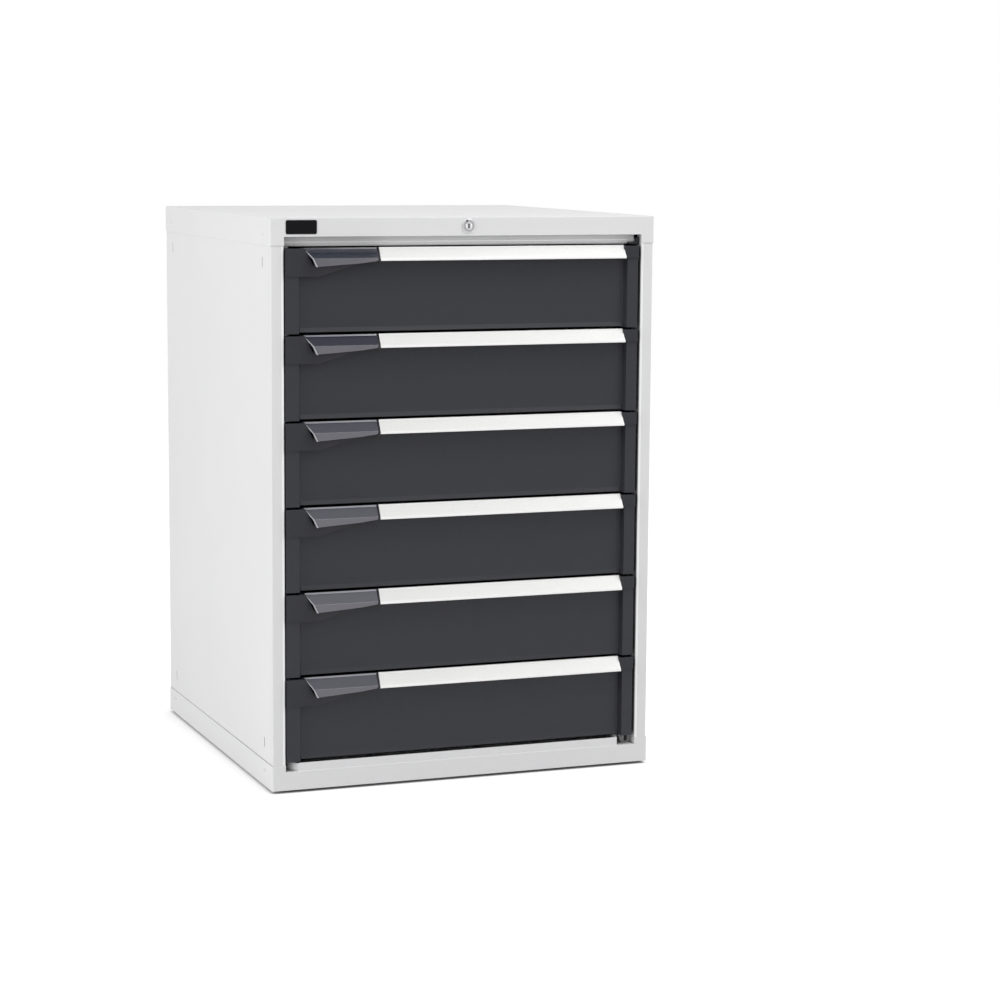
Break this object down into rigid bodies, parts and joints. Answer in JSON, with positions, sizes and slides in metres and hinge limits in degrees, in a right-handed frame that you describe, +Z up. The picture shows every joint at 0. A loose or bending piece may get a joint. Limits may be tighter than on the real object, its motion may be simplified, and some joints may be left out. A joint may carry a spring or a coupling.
{
  "type": "steel drawer cabinet",
  "caption": "Floor-standing steel cabinet with equal full-width drawers, each with a sloping label grip and a catch lever, on full-extension slides with a central lock.",
  "frame": {"origin": "at floor level under the centre of the whole object's footprint, grips included", "axes": "+Z up, +X to the right along the front, the drawers open towards -Y"},
  "size_m": [0.719, 0.745, 1.005],
  "materials": {
    "case_paint": "light grey-white powder coat, fine orange peel",
    "front_paint": "anthracite powder coat, satin",
    "tray_paint": "grey powder coat, satin",
    "zinc_steel": "zinc-plated sheet steel",
    "handle_white": "white coated aluminium profile",
    "label_card": "blank white card under clear film",
    "end_plastic": "moulded dark violet-grey plastic",
    "lever_plastic": "smoky blue-grey glossy plastic",
    "lock_chrome": "bright nickel plate",
    "badge_black": "bare black plate",
    "black_plastic": "black polyamide"
  },
  "bodies": {
    "cabinet": {"top_cover": "case_paint", "base_frame": "case_paint", "left_side_panel": "case_paint", "right_side_panel": "case_paint", "back_panel": "case_paint", "front_crossrail": "case_paint", "runner_columns": "zinc_steel", "outer_runners": "zinc_steel", "latch_strikes": "zinc_steel", "lock_housing": "lock_chrome", "lock_nut": "zinc_steel", "lock_bar_guides": "black_plastic", "badge_plate": "badge_black", "floor_glides": "black_plastic", "case_screws": "case_paint"},
    "lock_plug": {"lock_plug": "lock_chrome"},
    "lock_link": {"lock_link": "zinc_steel"},
    "lock_bar": {"lock_bar": "zinc_steel"},
    "drawer_1": {"drawer_1_tray": "tray_paint", "drawer_1_front_panel": "front_paint", "drawer_1_handle_rail": "handle_white", "drawer_1_label_strip": "label_card", "drawer_1_end_caps": "end_plastic"},
    "drawer_1_carriages": {"drawer_1_carriages": "zinc_steel"},
    "drawer_1_catch_lever": {"drawer_1_catch_lever": "lever_plastic"},
    "drawer_2": {"drawer_2_tray": "tray_paint", "drawer_2_front_panel": "front_paint", "drawer_2_handle_rail": "handle_white", "drawer_2_label_strip": "label_card", "drawer_2_end_caps": "end_plastic"},
    "drawer_2_carriages": {"drawer_2_carriages": "zinc_steel"},
    "drawer_2_catch_lever": {"drawer_2_catch_lever": "lever_plastic"},
    "drawer_3": {"drawer_3_tray": "tray_paint", "drawer_3_front_panel": "front_paint", "drawer_3_handle_rail": "handle_white", "drawer_3_label_strip": "label_card", "drawer_3_end_caps": "end_plastic"},
    "drawer_3_carriages": {"drawer_3_carriages": "zinc_steel"},
    "drawer_3_catch_lever": {"drawer_3_catch_lever": "lever_plastic"},
    "drawer_4": {"drawer_4_tray": "tray_paint", "drawer_4_front_panel": "front_paint", "drawer_4_handle_rail": "handle_white", "drawer_4_label_strip": "label_card", "drawer_4_end_caps": "end_plastic"},
    "drawer_4_carriages": {"drawer_4_carriages": "zinc_steel"},
    "drawer_4_catch_lever": {"drawer_4_catch_lever": "lever_plastic"},
    "drawer_5": {"drawer_5_tray": "tray_paint", "drawer_5_front_panel": "front_paint", "drawer_5_handle_rail": "handle_white", "drawer_5_label_strip": "label_card", "drawer_5_end_caps": "end_plastic"},
    "drawer_5_carriages": {"drawer_5_carriages": "zinc_steel"},
    "drawer_5_catch_lever": {"drawer_5_catch_lever": "lever_plastic"},
    "drawer_6": {"drawer_6_tray": "tray_paint", "drawer_6_front_panel": "front_paint", "drawer_6_handle_rail": "handle_white", "drawer_6_label_strip": "label_card", "drawer_6_end_caps": "end_plastic"},
    "drawer_6_carriages": {"drawer_6_carriages": "zinc_steel"},
    "drawer_6_catch_lever": {"drawer_6_catch_lever": "lever_plastic"}
  },
  "joints": [
    {"name": "drawer_1_slide", "type": "slide", "parent": "cabinet", "child": "drawer_1", "axis": [0, -1, 0], "range_m": [0, 0.6]},
    {"name": "drawer_1_carriage_slide", "type": "slide", "parent": "cabinet", "child": "drawer_1_carriages", "axis": [0, -1, 0], "range_m": [0, 0.3]},
    {"name": "drawer_1_lever_pivot", "type": "hinge", "parent": "drawer_1", "child": "drawer_1_catch_lever", "pos_m": [-0.23, -0.346, 0.9488], "axis": [-1, 0, 0], "range_deg": [0, 18], "stiffness_Nm_per_rad": 0.2, "springref_deg": -20.05},
    {"name": "drawer_2_slide", "type": "slide", "parent": "cabinet", "child": "drawer_2", "axis": [0, -1, 0], "range_m": [0, 0.6]},
    {"name": "drawer_2_carriage_slide", "type": "slide", "parent": "cabinet", "child": "drawer_2_carriages", "axis": [0, -1, 0], "range_m": [0, 0.3]},
    {"name": "drawer_2_lever_pivot", "type": "hinge", "parent": "drawer_2", "child": "drawer_2_catch_lever", "pos_m": [-0.23, -0.346, 0.7988], "axis": [-1, 0, 0], "range_deg": [0, 18], "stiffness_Nm_per_rad": 0.2, "springref_deg": -20.05},
    {"name": "drawer_3_slide", "type": "slide", "parent": "cabinet", "child": "drawer_3", "axis": [0, -1, 0], "range_m": [0, 0.6]},
    {"name": "drawer_3_carriage_slide", "type": "slide", "parent": "cabinet", "child": "drawer_3_carriages", "axis": [0, -1, 0], "range_m": [0, 0.3]},
    {"name": "drawer_3_lever_pivot", "type": "hinge", "parent": "drawer_3", "child": "drawer_3_catch_lever", "pos_m": [-0.23, -0.346, 0.6488], "axis": [-1, 0, 0], "range_deg": [0, 18], "stiffness_Nm_per_rad": 0.2, "springref_deg": -20.05},
    {"name": "drawer_4_slide", "type": "slide", "parent": "cabinet", "child": "drawer_4", "axis": [0, -1, 0], "range_m": [0, 0.6]},
    {"name": "drawer_4_carriage_slide", "type": "slide", "parent": "cabinet", "child": "drawer_4_carriages", "axis": [0, -1, 0], "range_m": [0, 0.3]},
    {"name": "drawer_4_lever_pivot", "type": "hinge", "parent": "drawer_4", "child": "drawer_4_catch_lever", "pos_m": [-0.23, -0.346, 0.4988], "axis": [-1, 0, 0], "range_deg": [0, 18], "stiffness_Nm_per_rad": 0.2, "springref_deg": -20.05},
    {"name": "drawer_5_slide", "type": "slide", "parent": "cabinet", "child": "drawer_5", "axis": [0, -1, 0], "range_m": [0, 0.6]},
    {"name": "drawer_5_carriage_slide", "type": "slide", "parent": "cabinet", "child": "drawer_5_carriages", "axis": [0, -1, 0], "range_m": [0, 0.3]},
    {"name": "drawer_5_lever_pivot", "type": "hinge", "parent": "drawer_5", "child": "drawer_5_catch_lever", "pos_m": [-0.23, -0.346, 0.3488], "axis": [-1, 0, 0], "range_deg": [0, 18], "stiffness_Nm_per_rad": 0.2, "springref_deg": -20.05},
    {"name": "drawer_6_slide", "type": "slide", "parent": "cabinet", "child": "drawer_6", "axis": [0, -1, 0], "range_m": [0, 0.6]},
    {"name": "drawer_6_carriage_slide", "type": "slide", "parent": "cabinet", "child": "drawer_6_carriages", "axis": [0, -1, 0], "range_m": [0, 0.3]},
    {"name": "drawer_6_lever_pivot", "type": "hinge", "parent": "drawer_6", "child": "drawer_6_catch_lever", "pos_m": [-0.23, -0.346, 0.1988], "axis": [-1, 0, 0], "range_deg": [0, 18], "stiffness_Nm_per_rad": 0.2, "springref_deg": -20.05},
    {"name": "lock_bar_slide", "type": "slide", "parent": "cabinet", "child": "lock_bar", "axis": [0, 0, -1], "range_m": [0, 0.012]},
    {"name": "lock_turn", "type": "hinge", "parent": "cabinet", "child": "lock_plug", "pos_m": [0.002, -0.3525, 0.989], "axis": [0, 1, 0], "range_deg": [0, 90]},
    {"name": "lock_link_slide", "type": "slide", "parent": "cabinet", "child": "lock_link", "axis": [-1, 0, 0], "range_m": [0, 0.017]}
  ],
  "couplings": [
    {"joint": "drawer_1_carriage_slide", "follows": "drawer_1_slide", "ratio": 0.5},
    {"joint": "drawer_2_carriage_slide", "follows": "drawer_2_slide", "ratio": 0.5},
    {"joint": "drawer_3_carriage_slide", "follows": "drawer_3_slide", "ratio": 0.5},
    {"joint": "drawer_4_carriage_slide", "follows": "drawer_4_slide", "ratio": 0.5},
    {"joint": "drawer_5_carriage_slide", "follows": "drawer_5_slide", "ratio": 0.5},
    {"joint": "drawer_6_carriage_slide", "follows": "drawer_6_slide", "ratio": 0.5},
    {"joint": "lock_turn", "follows": "lock_bar_slide", "rad_per_m": 130.9},
    {"joint": "lock_link_slide", "follows": "lock_bar_slide", "ratio": 1.4166}
  ]
}
